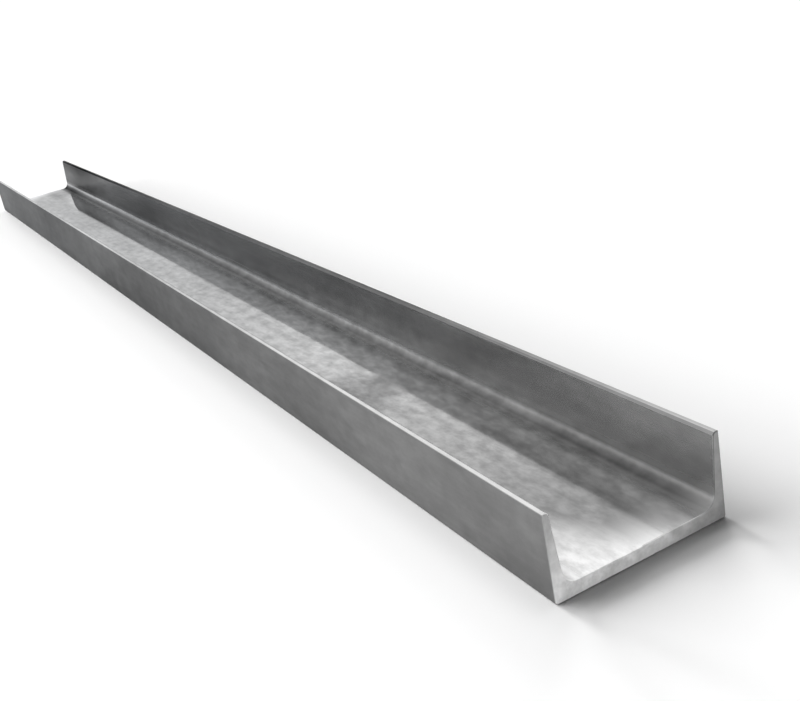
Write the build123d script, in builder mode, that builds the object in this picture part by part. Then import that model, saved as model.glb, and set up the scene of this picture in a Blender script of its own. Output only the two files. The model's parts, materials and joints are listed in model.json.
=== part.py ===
from build123d import *

import os

# A straight length of hot-rolled steel channel, lying on its web with both flanges up.
# The frame is +X along the length, +Y across the web and +Z up. The origin is the middle of
# the web's back, which is the face that the channel rests on. Lengths are in millimetres.

# Driving dimensions of the section and the cut length
channel_length = 1300.0
web_width = 100.0  # over the outer faces of the flanges
flange_height = 46.0  # from the web's back to the flange tips
web_thickness = 7.5
flange_thickness = 5.0  # half-way up a flange, where a rolled section is gauged
flange_slope = 0.08  # how much thinner a flange grows for each millimetre of height

# Radii that the rolls leave on the section, each limited below by its wall
root_radius = 7.5  # inside corner between the web and a flange
toe_radius = 2.2  # inner edge of a flange tip
tip_radius = 0.8  # outer edge of a flange tip
heel_radius = 1.6  # outer corner between the web and a flange

# Broken edge round each sawn end
end_break = 0.45

# The most that a tip's inner and outer radii may take of its thickness
toe_share = 0.65
tip_share = 0.3

# Half of the section, from the middle of the web's back round to the middle of its face
half_width = web_width / 2
gauge_height = (web_thickness + flange_height) / 2
tip_thickness = flange_thickness - flange_slope * (flange_height - gauge_height)
foot_thickness = flange_thickness + flange_slope * (gauge_height - web_thickness)
heel = (half_width, 0)
tip = (half_width, flange_height)
toe = (half_width - tip_thickness, flange_height)
root = (half_width - foot_thickness, web_thickness)
toe_fillet = min(toe_radius, toe_share * tip_thickness)
tip_fillet = min(tip_radius, tip_share * tip_thickness)

with BuildPart() as c_channel:
    # The rolled section, drawn across the length and mirrored about the web's middle
    with BuildSketch(Plane.YZ):
        with BuildLine():
            outline = FilletPolyline(
                (0, 0),
                heel,
                tip,
                toe,
                root,
                (0, web_thickness),
                radius=(heel_radius, tip_fillet, toe_fillet, root_radius),
            )
            Line(outline @ 1, outline @ 0)
        make_face()
        mirror(about=Plane.YZ)
    extrude(amount=channel_length / 2, both=True)

    # The two sawn ends, with their edges broken
    sawn_ends = c_channel.faces().filter_by(Axis.X)
    chamfer(sawn_ends.edges(), min(end_break, tip_fillet / 2))

c_channel.part.label = "c_channel"

os.makedirs("parts", exist_ok=True)
export_step(c_channel.part, "parts/c_channel.step")
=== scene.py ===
import json
import math
from types import SimpleNamespace

import bpy
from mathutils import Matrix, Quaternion, Vector, noise


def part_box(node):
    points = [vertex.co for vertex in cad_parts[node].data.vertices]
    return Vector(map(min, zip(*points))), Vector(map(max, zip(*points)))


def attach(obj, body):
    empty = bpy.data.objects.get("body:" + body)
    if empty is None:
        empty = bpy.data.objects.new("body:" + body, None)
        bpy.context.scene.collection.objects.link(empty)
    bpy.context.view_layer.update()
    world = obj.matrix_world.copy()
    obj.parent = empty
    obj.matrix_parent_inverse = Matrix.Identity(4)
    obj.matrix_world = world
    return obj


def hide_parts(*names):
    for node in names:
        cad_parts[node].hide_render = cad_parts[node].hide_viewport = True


# A length of galvanized rolled channel on a plain pale floor. Everything is in metres, in
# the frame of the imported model: +X along the channel, +Y across it and +Z up. The near end is
# at +X, and the left side is at -Y.

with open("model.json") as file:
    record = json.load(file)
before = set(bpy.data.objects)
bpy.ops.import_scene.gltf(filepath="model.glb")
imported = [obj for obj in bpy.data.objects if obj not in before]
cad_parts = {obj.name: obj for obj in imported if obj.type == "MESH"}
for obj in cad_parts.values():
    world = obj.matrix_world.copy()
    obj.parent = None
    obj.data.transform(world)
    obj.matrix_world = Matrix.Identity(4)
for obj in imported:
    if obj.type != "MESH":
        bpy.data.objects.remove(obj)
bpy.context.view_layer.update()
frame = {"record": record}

NODE = "c_channel"
LOW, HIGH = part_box(NODE)
MOUNTS = {mount["name"]: mount for mount in frame["record"]["mounts"]}

# The section: its overall sizes come from the frame, and what the frame doesn't name is here
HALF_WIDTH = HIGH.y
HEIGHT = HIGH.z
WEB_THICKNESS = MOUNTS["web_face"]["pos_m"][2]
FLANGE_THICKNESS = 0.005  # half-way up a flange
FLANGE_SLOPE = 0.08  # thinning for each metre of height
ROOT_RADIUS = 0.0075
TOE_RADIUS = 0.0022
TIP_RADIUS = 0.0008
HEEL_RADIUS = 0.0016
END_BREAK = 0.00045

# How finely the skin is divided
STEP_ALONG = 0.004
STEP_ACROSS = 0.004
WEB_STEP_ACROSS = 0.0015
EDGE_SUPPORT = 0.0004  # a first short step beside each rounded corner keeps the flats flat
HEEL_PIECES, TIP_PIECES, TOE_PIECES, ROOT_PIECES = 8, 6, 8, 18
SHARP_ANGLE_DEG = 30

# Unevenness that rolling leaves in the faces: (depth, length along X, length across)
ROLLING_WAVES = ((0.00004, 0.110, 0.040), (0.000008, 0.028, 0.014))
# The web's face is faintly dished: how much it rises, and between which distances from its middle
WEB_RISE = 0.0002
RISE_START, RISE_END = 0.006, 0.018

# The zinc skin by region: the share of light that it returns, its roughness, how far it
# counts as the web's face, which is the most mottled, and how far as the trough's skin. The
# shares hold painted light: the web's face is lighter, as a painted reflection of the bright
# surround, the flanges' faces are darker, as painted shade, and the left tip is lighter, as a
# painted highlight. The shares were set by comparing a render's levels with the photograph's
# at the same places.
OUTSIDE = (0.23, 0.45, 0.0, 0.0)
LEFT_TIP = (0.66, 0.25, 0.0, 0.0)
RIGHT_TIP = (0.20, 0.30, 0.0, 0.0)
LEFT_TOE = (0.40, 0.24, 0.0, 0.3)
RIGHT_TOE = (0.19, 0.30, 0.0, 0.15)
# Down a flange's inner face, by the share of the way from the toe to the root: darker near
# the root, as painted shade
INSIDE = (
    (0.00, (0.48, 0.22, 0.0, 0.3)),
    (0.50, (0.37, 0.22, 0.0, 0.3)),
    (0.88, (0.24, 0.22, 0.0, 0.3)),
    (1.00, (0.34, 0.28, 0.0, 0.4)),
)
# Across the web's face, by the share of the way from the root to its middle: darker at the
# root, as painted shade
WEB = (
    (0.00, (0.41, 0.35, 1.0, 1.0)),
    (0.06, (0.52, 0.20, 1.0, 1.0)),
    (0.14, (0.74, 0.07, 1.0, 1.0)),
    (0.25, (0.73, 0.07, 1.0, 1.0)),
    (0.45, (0.65, 0.07, 1.0, 1.0)),
    (0.65, (0.52, 0.07, 1.0, 1.0)),
    (1.00, (0.51, 0.07, 1.0, 1.0)),
)
# Round the root, by the share of the turn from the web to the flange: painted shade in the
# corner, then a painted highlight along a line
ROOT = (
    (0.00, WEB[0][1]),
    (0.05, (0.38, 0.38, 1.0, 1.0)),
    (0.10, (0.335, 0.40, 1.0, 1.0)),
    (0.16, (0.28, 0.42, 1.0, 1.0)),
    (0.23, (0.21, 0.42, 1.0, 1.0)),
    (0.30, (0.175, 0.50, 1.0, 1.0)),
    (0.42, (0.21, 0.50, 1.0, 1.0)),
    (0.55, (0.26, 0.50, 1.0, 1.0)),
    (0.65, (0.33, 0.45, 1.0, 0.9)),
    (0.75, (0.55, 0.40, 0.9, 0.8)),
    (0.85, (0.72, 0.35, 0.6, 0.7)),
    (0.92, (0.62, 0.30, 0.3, 0.5)),
    (1.00, INSIDE[-1][1]),
)
# Round a flange's toe and tip, the skin changes with the upward part of the normal: where the
# toe's own skin starts and is reached, and how sharply the tip's follows on its inner edge. On
# its outer edge the tip's skin comes in less sharply, and is reached before the top. On the
# left the upward-facing tip is lighter, as a painted highlight.
TOE_START, TOE_FULL = 0.1, 0.4
INNER_SHARPNESS = 9
OUTER_SHARPNESS = 3
OUTER_GAIN = 1.5

# From here on, a pair named ALONG, ACROSS or UP is a stretch of X, Y or Z over which a tone or
# a share changes

# Noise in the skin: its scale, how far it is drawn out along X, its detail and its shift. The
# clouds' were searched for, so that they suit the photograph's tones along the channel.
WEB_CLOUDS = (8.0, 3.0, 4.0, 243.22)
FLANGE_CLOUDS = (2.5, 2.0, 4.0, 281.33)
BLOTCHES = (30.0, 1.5, 3.0, 7.7)
MOTTLE = (130.0, 1.8, 3.0, 1.3)
STREAKS = (260.0, 25.0, 2.0, 2.6)
GRAIN = (900.0, 1.5, 2.0, 5.1)
NOISE_ROUGHNESS = 0.6
NOISE_RANGE = (0.35, 0.65)  # most of the noise lies in it

# What the darkest and the palest of the clouds and streaks return, as shares of the skin's own,
# the strength of the mottling, which is most on the web near the near end, and the bump of the
# grain
WEB_CLOUD_TONE = (0.82, 1.18)
FLANGE_CLOUD_TONE = (0.65, 1.35)
STREAK_TONE = (0.97, 1.03)
CLOUD_ROUGHNESS = (1.2, 0.8)
MOTTLE_FAR, MOTTLE_NEAR = 0.07, 0.17
MOTTLE_ALONG = (-0.3, 0.4)
GRAIN_STRENGTH = 0.2
GRAIN_DEPTH = 0.00002

# Towards the far end the zinc is a shade cooler than a true grey
RED_FAR = 0.985
BLUE_FAR = 1.02
TINT_ALONG = (-0.4, 0.5)

# The most that the skin returns, and the slope of the edge tint at which a metal returns as
# much at a grazing view as head on
MOST_RETURNED = 0.96
EDGE_TINT_SLOPE = 0.527

# A sawn end: what it returns on its brighter left half and at its right edge, the shares of
# that which the flanges' tips return, how high up those are reached, and its roughness. The
# lighter left and darker right are painted light and shade.
SAWN_LEFT = 0.83
SAWN_RIGHT = 0.40
SAWN_LEFT_TIP = 0.60
SAWN_RIGHT_TIP = 1.05
SAWN_UP = (WEB_THICKNESS, HEIGHT * 0.9)
SAWN_ROUGHNESS = 0.85

# The right side's broken edge: the share of light that it keeps, how far the web's counts as
# such, how high up it counts in full, and where it starts, as a share of the break. The darker
# right edge is painted shade.
BREAK_RIGHT_SHARE = 0.4
BREAK_ON_WEB = 0.35
BREAK_UP = (0.011, 0.020)
BREAK_START = 0.05

# Beside a sawn end the trough carries a painted highlight, which reaches further back towards
# the left flange. On the right it is weaker, and on the right at the far end it is absent.
END_HIGHLIGHT = 0.92
END_HIGHLIGHT_REACH = 0.028
END_HIGHLIGHT_FAN = 2.2  # how much further it reaches for each metre to the left
END_HIGHLIGHT_RAGGED = 0.004
END_HIGHLIGHT_FALL = 1.4  # how sharply it falls off with the distance
END_HIGHLIGHT_NEAR_RIGHT_SHARE = 0.3
END_HIGHLIGHT_FAR_RIGHT_SHARE = 0.0
END_HIGHLIGHT_ALONG = (-0.5, 0.5)
END_HIGHLIGHT_ACROSS = (0.0, 0.038)

# The web is darker along its last stretch before the near end. A strip to the right of its
# middle there is darker most of all, as painted shade, which starts sharply and fades to the
# right. At the far end it is darker on the right.
WEB_NEAR_SHARE = 0.80
WEB_NEAR_ALONG = (0.51, 0.61)
STRIP_LOSS = -0.42
STRIP_ALONG = (0.42, 0.52)
STRIP_START_ACROSS = (0.010, 0.015)
STRIP_FADE_ACROSS = (0.018, 0.034)
STRIP_REST = 0.1  # the share of the loss that is left past the fade
FAR_RIGHT_LOSS = -0.38
FAR_RIGHT_ALONG = (-0.60, -0.52)
FAR_RIGHT_ACROSS = (0.006, 0.018)

# How far the flanges' inner faces are painted lighter near the near end, as painted light,
# and how far their top is darker near the far one
INSIDE_TROUGH = 0.3  # the least that counts as the trough's skin in full
INSIDE_NEAR_GAIN = 0.5
INSIDE_NEAR_ALONG = (0.44, 0.60)
INSIDE_NEAR_UP = (0.008, 0.024)
INSIDE_FAR_LOSS = -0.5
INSIDE_FAR_ALONG = (-0.55, -0.28)
INSIDE_FAR_UP = (0.022, 0.042)

# How far the right flange's tip is painted lighter near the near end, as a painted highlight
TIP_NEAR_GAIN = 1.1
TIP_NEAR_ALONG = (0.38, 0.62)
TIP_DEPTH = 0.0003  # below the top, and still the tip

# A patch of the web where the zinc is duller and rougher: its middle in X and Y, its reach
# along and across, how ragged it is, the shares of its reach between which it fades, the share
# of light that it keeps, and its roughness
DULL_MIDDLE = (0.388, -0.004)
DULL_HALF_LENGTH = 0.035
DULL_HALF_WIDTH = 0.026
DULL_RAGGED = 0.4
DULL_FADE = (0.5, 1.3)
DULL_SHARE = 0.72
DULL_ROUGHNESS = 0.20

# Camera, from the vanishing points of the photograph's straight edges
CAMERA_FROM_NEAR_END = Vector((0.350, -0.264, 0.290))
AIM_FROM_NEAR_END = Vector((-0.324, 0.0533, 0.0))
CAMERA_LENS_MM = 50.25
CAMERA_ROLL_DEG = 11.36

# Light, where 1 is the level at which a white surface renders white. Each lamp has a level,
# an azimuth from +X towards +Y, an elevation and the angle that it spans, in degrees. They
# were fitted to the floor's shadow in the photograph, then rounded and softened.
WORLD_FILL = 0.03
LAMPS = {
    "behind": (0.42, 182.0, 17.0, 25.0),
    "behind_left": (0.10, 201.0, 22.0, 25.0),
    "behind_right": (0.12, 146.0, 28.0, 22.0),
    "low_left": (0.19, 224.0, 20.0, 36.0),
    "high_left": (0.11, 212.0, 45.0, 35.0),
    "far_left": (0.09, 247.0, 18.0, 23.0),
    "top": (0.10, 90.0, 74.0, 22.0),
}
FLOOR_REACH = 60.0
FLOOR_GAP = 0.00005  # keeps the channel's back and the floor from sharing one plane
FLOOR_WHITE = 0.92


def clamped(value):
    """The value, held between 0 and 1."""
    return min(1, max(0, value))


def mixed(first, second, share):
    """A mix of two skins, with the given share of the second."""
    return tuple(start + (end - start) * share for start, end in zip(first, second))


def by_share(stops, share):
    """The skin at a share of the way along a table of stops."""
    for (start, first), (end, second) in zip(stops, stops[1:]):
        if share <= end:
            return mixed(first, second, (share - start) / (end - start))
    return stops[-1][1]


def toe_and_tip(toe_skin, tip_skin, normal):
    """The skin round a flange's toe, from its inner face up to its tip."""
    over_edge = clamped((normal.y - TOE_START) / (TOE_FULL - TOE_START))
    skin = mixed(INSIDE[0][1], toe_skin, over_edge)
    return mixed(skin, tip_skin, max(0, normal.y) ** INNER_SHARPNESS)


def outer_edge(tip_skin, normal):
    """The skin round a tip's outer edge, from the outer face up to the tip."""
    return mixed(OUTSIDE, tip_skin, min(1, OUTER_GAIN * normal.y**OUTER_SHARPNESS))


def corner_arc(before, corner, after, radius, pieces):
    """Points round a corner of the outline, each with its outward normal."""
    into, out = (before - corner).normalized(), (after - corner).normalized()
    half_angle = into.angle(out) / 2
    centre = corner + (into + out).normalized() * radius / math.sin(half_angle)
    start = corner + into * radius / math.tan(half_angle) - centre
    turn = math.pi - 2 * half_angle
    convex = (corner - before).cross(after - corner) > 0
    side = 1 if convex else -1
    arc = []
    for k in range(pieces + 1):
        angle = side * turn * k / pieces
        spoke = Vector(
            (
                start.x * math.cos(angle) - start.y * math.sin(angle),
                start.x * math.sin(angle) + start.y * math.cos(angle),
            )
        )
        arc.append((centre + spoke, spoke.normalized() * side))
    return arc


def straight_run(start, end, step=STEP_ACROSS):
    """Points strictly between two points of the outline, with their outward normals."""
    along = (end - start).normalized()
    outward = Vector((along.y, -along.x))
    length = (end - start).length
    support = min(EDGE_SUPPORT, length / 3)
    steps = max(1, round((length - 2 * support) / step))
    places = [support + (length - 2 * support) * k / steps for k in range(steps + 1)]
    return [(start + along * place, outward) for place in places]


def skinned(points, skin):
    """The points with their skin, which is one for all or a function of the share of the way
    along them and the normal."""
    if callable(skin):
        last = len(points) - 1
        return [
            (point, normal, skin(k / last, normal)) for k, (point, normal) in enumerate(points)
        ]
    return [(point, normal, skin) for point, normal in points]


def half_outline(toe_skin, tip_skin):
    """The section's right half as (point, normal, skin), from the middle of its back to the
    middle of the web's face. A point's first coordinate is Y and its second is Z."""
    gauge_height = (WEB_THICKNESS + HEIGHT) / 2
    tip_thickness = FLANGE_THICKNESS - FLANGE_SLOPE * (HEIGHT - gauge_height)
    foot_thickness = FLANGE_THICKNESS + FLANGE_SLOPE * (gauge_height - WEB_THICKNESS)
    back = Vector((0, 0))
    heel = Vector((HALF_WIDTH, 0))
    tip = Vector((HALF_WIDTH, HEIGHT))
    toe = Vector((HALF_WIDTH - tip_thickness, HEIGHT))
    root = Vector((HALF_WIDTH - foot_thickness, WEB_THICKNESS))
    face = Vector((0, WEB_THICKNESS))
    heel_arc = corner_arc(back, heel, tip, HEEL_RADIUS, HEEL_PIECES)
    tip_arc = corner_arc(heel, tip, toe, TIP_RADIUS, TIP_PIECES)
    toe_arc = corner_arc(tip, toe, root, TOE_RADIUS, TOE_PIECES)
    root_arc = corner_arc(toe, root, face, ROOT_RADIUS, ROOT_PIECES)
    inner_face = straight_run(toe_arc[-1][0], root_arc[0][0])
    web_face = straight_run(root_arc[-1][0], face, WEB_STEP_ACROSS)
    return (
        skinned(straight_run(back, heel_arc[0][0]), OUTSIDE)
        + skinned(heel_arc, OUTSIDE)
        + skinned(straight_run(heel_arc[-1][0], tip_arc[0][0]), OUTSIDE)
        + skinned(tip_arc, lambda share, normal: outer_edge(tip_skin, normal))
        + skinned(straight_run(tip_arc[-1][0], toe_arc[0][0]), tip_skin)
        + skinned(toe_arc, lambda share, normal: toe_and_tip(toe_skin, tip_skin, normal))
        + skinned(inner_face, lambda share, normal: by_share(INSIDE, share))
        + skinned(root_arc, lambda share, normal: by_share(ROOT, 1 - share))
        + skinned(web_face, lambda share, normal: by_share(WEB, share))
    )


def full_outline():
    """The whole closed section, anticlockwise as seen from +X."""
    right = half_outline(RIGHT_TOE, RIGHT_TIP)
    left = [
        (Vector((-point.x, point.y)), Vector((-normal.x, normal.y)), skin)
        for point, normal, skin in reversed(half_outline(LEFT_TOE, LEFT_TIP))
    ]
    return right + left


def unevenness(place, in_trough):
    """How far a point of the skin stands out from the true shape."""
    outward = clamped((abs(place.y) - RISE_START) / (RISE_END - RISE_START))
    up_root = clamped((place.z - WEB_THICKNESS) / ROOT_RADIUS)
    rise = 0.0
    if in_trough:
        rise = WEB_RISE * outward * outward * (3 - 2 * outward) * (1 - up_root)
    for depth, along, across in ROLLING_WAVES:
        rise += depth * noise.noise(Vector((place.x / along, place.y / across, place.z / across)))
    return rise


def channel_mesh():
    """The channel's skin, swept along X, with a broken edge and a cap at each sawn end."""
    outline = full_outline()
    steps = round((HIGH.x - LOW.x - 2 * END_BREAK) / STEP_ALONG)
    body_start, body_end = LOW.x + END_BREAK, HIGH.x - END_BREAK
    stations = [(LOW.x, END_BREAK)]
    stations += [(body_start + (body_end - body_start) * k / steps, 0.0) for k in range(steps + 1)]
    stations += [(HIGH.x, END_BREAK)]

    points = []
    values = {"base": [], "roughness": [], "web": [], "trough": [], "sawn": []}
    for x, inset in stations:
        for (y, z), (normal_y, normal_z), (base, roughness, web, trough) in outline:
            place = Vector((x, y, z))
            normal = Vector((0, normal_y, normal_z))
            point = place + normal * (unevenness(place, trough > 0) - inset)
            point.z = max(point.z, LOW.z)  # the back's unevenness doesn't pierce the floor
            points.append(point)
            values["base"].append(base)
            values["roughness"].append(roughness)
            values["web"].append(web)
            values["trough"].append(trough)
            values["sawn"].append(1.0 if inset else 0.0)

    count = len(outline)
    faces = []
    for station in range(len(stations) - 1):
        for j in range(count):
            first = station * count + j
            second = station * count + (j + 1) % count
            faces.append((first, second, second + count, first + count))
    faces.append(tuple(reversed(range(count))))
    faces.append(tuple(range(len(points) - count, len(points))))

    mesh = bpy.data.meshes.new("galvanized_channel")
    mesh.from_pydata(points, [], faces)
    for name, numbers in values.items():
        mesh.attributes.new(name, "FLOAT", "POINT").data.foreach_set("value", numbers)
    mesh.shade_smooth()
    mesh.set_sharp_from_angle(angle=math.radians(SHARP_ANGLE_DEG))
    return mesh


class Nodes:
    """A short way to write a node tree: each call adds one node and links its inputs."""

    def __init__(self, tree):
        self.tree = tree
        tree.nodes.clear()

    def add(self, kind, inputs=None, **settings):
        node = self.tree.nodes.new(kind)
        for name, value in settings.items():
            setattr(node, name, value)
        for key, value in (inputs or {}).items():
            if isinstance(value, bpy.types.NodeSocket):
                self.tree.links.new(value, node.inputs[key])
            else:
                node.inputs[key].default_value = value
        return node

    def math(self, operation, *values):
        return self.add("ShaderNodeMath", dict(enumerate(values)), operation=operation).outputs[0]

    def product(self, first, *others):
        for other in others:
            first = self.math("MULTIPLY", first, other)
        return first

    def attribute(self, name):
        return self.add("ShaderNodeAttribute", attribute_name=name).outputs["Fac"]

    def noise(self, place, scale, stretch, detail, shift):
        """Noise of one scale, drawn out along the channel by stretch."""
        where = self.add(
            "ShaderNodeMapping",
            {"Vector": place, "Scale": (1 / stretch, 1, 1), "Location": (shift, shift, shift)},
        ).outputs["Vector"]
        return self.add(
            "ShaderNodeTexNoise",
            {"Vector": where, "Scale": scale, "Detail": detail, "Roughness": NOISE_ROUGHNESS},
        ).outputs["Fac"]

    def spread(self, value, low, high, within=NOISE_RANGE):
        """The value carried from one range to another, and held at the ends of the new one."""
        inputs = {"Value": value, "To Min": low, "To Max": high}
        inputs["From Min"], inputs["From Max"] = within
        return self.add("ShaderNodeMapRange", inputs).outputs["Result"]

    def blend(self, share, without, with_it):
        """A mix of two values, by the share of the second."""
        mix = self.add("ShaderNodeMix", {0: share, 2: without, 3: with_it}, data_type="FLOAT")
        return mix.outputs[0]

    def colour(self, red, green, blue):
        rgb = {"Red": red, "Green": green, "Blue": blue}
        return self.add("ShaderNodeCombineColor", rgb).outputs["Color"]


def surface(nodes):
    """What the zinc is worked out from at each point: its place, its region and its noises."""
    place = nodes.add("ShaderNodeTexCoord").outputs["Object"]
    x, y, z = nodes.add("ShaderNodeSeparateXYZ", {"Vector": place}).outputs
    return SimpleNamespace(
        x=x,
        y=y,
        z=z,
        to_end=nodes.math("SUBTRACT", HIGH.x, nodes.math("ABSOLUTE", x)),
        on_right=nodes.math("GREATER_THAN", y, 0.0),
        base=nodes.attribute("base"),
        roughness=nodes.attribute("roughness"),
        web=nodes.attribute("web"),
        trough=nodes.attribute("trough"),
        sawn=nodes.attribute("sawn"),
        web_clouds=nodes.noise(place, *WEB_CLOUDS),
        flange_clouds=nodes.noise(place, *FLANGE_CLOUDS),
        blotches=nodes.noise(place, *BLOTCHES),
        mottle=nodes.noise(place, *MOTTLE),
        streaks=nodes.noise(place, *STREAKS),
        grain=nodes.noise(place, *GRAIN),
    )


def end_highlight_share(nodes, at):
    """How far the trough is painted bright beside a sawn end, as a painted highlight."""
    from_end = nodes.math("ADD", at.to_end, nodes.spread(at.mottle, -END_HIGHLIGHT_RAGGED, END_HIGHLIGHT_RAGGED))
    to_left = nodes.math("MAXIMUM", 0.0, nodes.product(at.y, -1.0))
    reach = nodes.math("MULTIPLY_ADD", to_left, END_HIGHLIGHT_FAN, END_HIGHLIGHT_REACH)
    highlight = nodes.spread(nodes.math("DIVIDE", from_end, reach), 1.0, 0.0, (0.0, 1.0))
    right_share = nodes.spread(at.x, END_HIGHLIGHT_FAR_RIGHT_SHARE, END_HIGHLIGHT_NEAR_RIGHT_SHARE, END_HIGHLIGHT_ALONG)
    across = nodes.spread(at.y, 1.0, right_share, END_HIGHLIGHT_ACROSS)
    return nodes.product(nodes.math("POWER", highlight, END_HIGHLIGHT_FALL), at.trough, across)


def dull_share(nodes, at):
    """How far a point of the web lies in the dull patch."""
    along = nodes.math("DIVIDE", nodes.math("SUBTRACT", at.x, DULL_MIDDLE[0]), DULL_HALF_LENGTH)
    across = nodes.math("DIVIDE", nodes.math("SUBTRACT", at.y, DULL_MIDDLE[1]), DULL_HALF_WIDTH)
    squares = nodes.math("ADD", nodes.product(along, along), nodes.product(across, across))
    ragged = nodes.spread(at.blotches, -DULL_RAGGED, DULL_RAGGED)
    from_middle = nodes.math("ADD", nodes.math("SQRT", squares), ragged)
    return nodes.product(nodes.spread(from_middle, 1.0, 0.0, DULL_FADE), at.web)


def flange_tone(nodes, at):
    """The flanges' clouds, with the inner faces' painted light near the near end and their darker
    top near the far.
    """
    gain = nodes.product(
        nodes.spread(at.z, 0.0, INSIDE_NEAR_GAIN, INSIDE_NEAR_UP),
        nodes.spread(at.x, 0.0, 1.0, INSIDE_NEAR_ALONG),
    )
    loss = nodes.product(
        nodes.spread(at.z, 0.0, INSIDE_FAR_LOSS, INSIDE_FAR_UP),
        nodes.spread(at.x, 1.0, 0.0, INSIDE_FAR_ALONG),
    )
    inside = nodes.spread(at.trough, 0.0, 1.0, (0.0, INSIDE_TROUGH))
    tone = nodes.math("MULTIPLY_ADD", nodes.math("ADD", gain, loss), inside, 1.0)
    return nodes.product(tone, nodes.spread(at.flange_clouds, *FLANGE_CLOUD_TONE))


def web_tone(nodes, at):
    """The web's clouds, with its darker stretch, the painted shade on its strip, and its darker
    far right.
    """
    strip = nodes.product(
        nodes.spread(at.y, 0.0, 1.0, STRIP_START_ACROSS),
        nodes.spread(at.y, 1.0, STRIP_REST, STRIP_FADE_ACROSS),
        nodes.spread(at.x, 0.0, STRIP_LOSS, STRIP_ALONG),
    )
    far_right = nodes.product(
        nodes.spread(at.y, 0.0, 1.0, FAR_RIGHT_ACROSS),
        nodes.spread(at.x, FAR_RIGHT_LOSS, 0.0, FAR_RIGHT_ALONG),
    )
    kept = nodes.math("ADD", nodes.math("ADD", strip, far_right), 1.0)
    near = nodes.spread(at.x, 1.0, WEB_NEAR_SHARE, WEB_NEAR_ALONG)
    return nodes.product(near, kept, nodes.spread(at.web_clouds, *WEB_CLOUD_TONE))


def tip_tone(nodes, at):
    """The gain of the right flange's tip near the near end, a painted highlight."""
    on_top = nodes.math("GREATER_THAN", at.z, HEIGHT - TIP_DEPTH)
    tip_highlight = nodes.spread(at.x, 0.0, TIP_NEAR_GAIN, TIP_NEAR_ALONG)
    return nodes.math("ADD", nodes.product(on_top, at.on_right, tip_highlight), 1.0)


def sawn_base(nodes, at):
    """What a sawn end returns, with painted light on its left and painted shade on its right."""
    level = nodes.spread(at.y, SAWN_LEFT, SAWN_RIGHT, (0.0, HALF_WIDTH))
    at_tip = nodes.spread(at.y, SAWN_LEFT_TIP, SAWN_RIGHT_TIP, (-HALF_WIDTH, HALF_WIDTH))
    return nodes.product(level, nodes.spread(at.z, 1.0, at_tip, SAWN_UP))


def break_tone(nodes, at):
    """The share of light that the broken edges keep, which is less on the right, as painted shade.
    """
    past_start = nodes.math("GREATER_THAN", at.to_end, END_BREAK * BREAK_START)
    before_end = nodes.math("LESS_THAN", at.to_end, END_BREAK)
    upward = nodes.spread(at.z, BREAK_ON_WEB, 1.0, BREAK_UP)
    on_break = nodes.product(past_start, before_end, at.on_right, upward)
    return nodes.blend(on_break, 1.0, BREAK_RIGHT_SHARE)


def mottled(nodes, at):
    """The streaks, and the fine mottling, which is strongest on the web near the near end."""
    on_web = nodes.spread(at.x, MOTTLE_FAR, MOTTLE_NEAR, MOTTLE_ALONG)
    strength = nodes.blend(at.web, MOTTLE_FAR, on_web)
    fine = nodes.math("MULTIPLY_ADD", nodes.spread(at.mottle, -1.0, 1.0), strength, 1.0)
    return nodes.product(fine, nodes.spread(at.streaks, *STREAK_TONE))


def zinc_skin():
    """Galvanized steel: clouded, mottled grey zinc, with painted light and shade, and a painted
    highlight in the trough near each end.
    """
    material = bpy.data.materials.new("zinc_skin")
    material.use_nodes = True
    nodes = Nodes(material.node_tree)
    at = surface(nodes)
    dull = dull_share(nodes, at)

    # The regions' tones, with their painted light and shade
    tone = nodes.blend(at.web, flange_tone(nodes, at), web_tone(nodes, at))
    base = nodes.product(at.base, tone, nodes.blend(dull, 1.0, DULL_SHARE), tip_tone(nodes, at))
    # A painted highlight in the trough beside each sawn end
    base = nodes.blend(end_highlight_share(nodes, at), base, END_HIGHLIGHT)
    # Painted light and shade on the sawn ends
    base = nodes.blend(at.sawn, base, sawn_base(nodes, at))
    base = nodes.product(base, mottled(nodes, at), break_tone(nodes, at))
    base = nodes.math("MINIMUM", base, MOST_RETURNED)
    red = nodes.product(base, nodes.spread(at.x, RED_FAR, 1.0, TINT_ALONG))
    blue = nodes.product(base, nodes.spread(at.x, BLUE_FAR, 1.0, TINT_ALONG))
    divisor = nodes.math("MULTIPLY_ADD", base, EDGE_TINT_SLOPE, 1 - EDGE_TINT_SLOPE)
    edge_tint = nodes.math("DIVIDE", base, divisor)

    roughness = nodes.product(at.roughness, nodes.spread(at.web_clouds, *CLOUD_ROUGHNESS))
    roughness = nodes.blend(dull, roughness, DULL_ROUGHNESS)
    roughness = nodes.blend(at.sawn, roughness, SAWN_ROUGHNESS)

    bump = nodes.add(
        "ShaderNodeBump",
        {"Height": at.grain, "Strength": GRAIN_STRENGTH, "Distance": GRAIN_DEPTH},
    )
    shader = nodes.add(
        "ShaderNodeBsdfPrincipled",
        {
            "Base Color": nodes.colour(red, base, blue),
            "Metallic": 1.0,
            "Roughness": roughness,
            "Specular Tint": nodes.colour(edge_tint, edge_tint, edge_tint),
            "Normal": bump.outputs["Normal"],
        },
    )
    nodes.add("ShaderNodeOutputMaterial", {"Surface": shader.outputs["BSDF"]})
    return material


def add_channel():
    """The visible channel, which stands for the CAD node."""
    channel = bpy.data.objects.new("galvanized_channel", channel_mesh())
    bpy.context.scene.collection.objects.link(channel)
    channel.data.materials.append(zinc_skin())
    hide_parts(NODE)
    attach(channel, "root")


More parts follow.
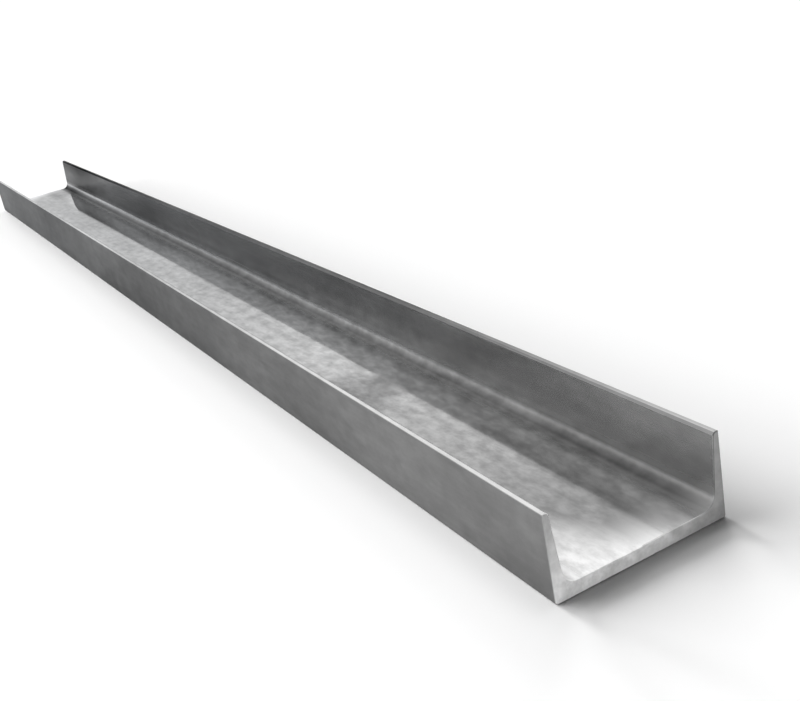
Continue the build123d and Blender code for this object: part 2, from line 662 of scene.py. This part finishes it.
def add_floor():
    """A plain pale floor that keeps the channel's shadow."""
    mesh = bpy.data.meshes.new("floor")
    reach = FLOOR_REACH
    z = -FLOOR_GAP
    corners = [(-reach, -reach, z), (reach, -reach, z), (reach, reach, z), (-reach, reach, z)]
    mesh.from_pydata(corners, [], [(0, 1, 2, 3)])
    floor = bpy.data.objects.new("floor", mesh)
    bpy.context.scene.collection.objects.link(floor)
    material = bpy.data.materials.new("pale_floor")
    material.use_nodes = True
    nodes = Nodes(material.node_tree)
    shader = nodes.add("ShaderNodeBsdfDiffuse", {"Color": (FLOOR_WHITE,) * 3 + (1.0,)})
    nodes.add("ShaderNodeOutputMaterial", {"Surface": shader.outputs["BSDF"]})
    mesh.materials.append(material)


def direction(azimuth_deg, elevation_deg):
    """A unit vector from an azimuth, from +X towards +Y, and an elevation."""
    azimuth, elevation = math.radians(azimuth_deg), math.radians(elevation_deg)
    flat = math.cos(elevation)
    return Vector((flat * math.cos(azimuth), flat * math.sin(azimuth), math.sin(elevation)))


def add_sun(name, level, azimuth_deg, elevation_deg, angle_deg):
    """A broad, soft, even light that adds the given level to the floor. The metal doesn't
    mirror it."""
    lamp = bpy.data.lights.new(name, "SUN")
    lamp.energy = level * math.pi / math.sin(math.radians(elevation_deg))
    lamp.angle = math.radians(angle_deg)
    sun = bpy.data.objects.new(name, lamp)
    sun.rotation_mode = "QUATERNION"
    sun.rotation_quaternion = (-direction(azimuth_deg, elevation_deg)).to_track_quat("-Z", "Y")
    sun.visible_glossy = False
    bpy.context.scene.collection.objects.link(sun)


def add_world():
    """An even white surround: white where it is seen, also in the metal, and a soft fill where
    it lights the floor."""
    world = bpy.data.worlds.new("studio")
    bpy.context.scene.world = world
    world.use_nodes = True
    nodes = Nodes(world.node_tree)
    path = nodes.add("ShaderNodeLightPath")
    seen = nodes.math("MAXIMUM", path.outputs["Is Camera Ray"], path.outputs["Is Glossy Ray"])
    # A ray that has met no matt surface yet has a diffuse depth of 0
    first_hand = nodes.math("LESS_THAN", path.outputs["Diffuse Depth"], 1.0)
    strength = nodes.blend(nodes.product(seen, first_hand), WORLD_FILL, 1.0)
    background = nodes.add(
        "ShaderNodeBackground", {"Color": (1.0, 1.0, 1.0, 1.0), "Strength": strength}
    )
    nodes.add("ShaderNodeOutputWorld", {"Surface": background.outputs["Background"]})


def add_camera():
    """The camera at the photograph's place, a little rolled, as the photograph is."""
    lens = bpy.data.cameras.new("camera")
    lens.lens = CAMERA_LENS_MM
    camera = bpy.data.objects.new("camera", lens)
    near_end = Vector((HIGH.x, 0, 0))
    camera.location = near_end + CAMERA_FROM_NEAR_END
    view = AIM_FROM_NEAR_END - CAMERA_FROM_NEAR_END
    roll = Quaternion((0, 0, 1), math.radians(-CAMERA_ROLL_DEG))
    camera.rotation_mode = "QUATERNION"
    camera.rotation_quaternion = view.to_track_quat("-Z", "Y") @ roll
    bpy.context.scene.collection.objects.link(camera)
    bpy.context.scene.camera = camera


bpy.context.scene.view_settings.view_transform = "Standard"
add_camera()
add_world()
for lamp_name, lamp_values in LAMPS.items():
    add_sun(lamp_name, *lamp_values)
add_floor()
add_channel()
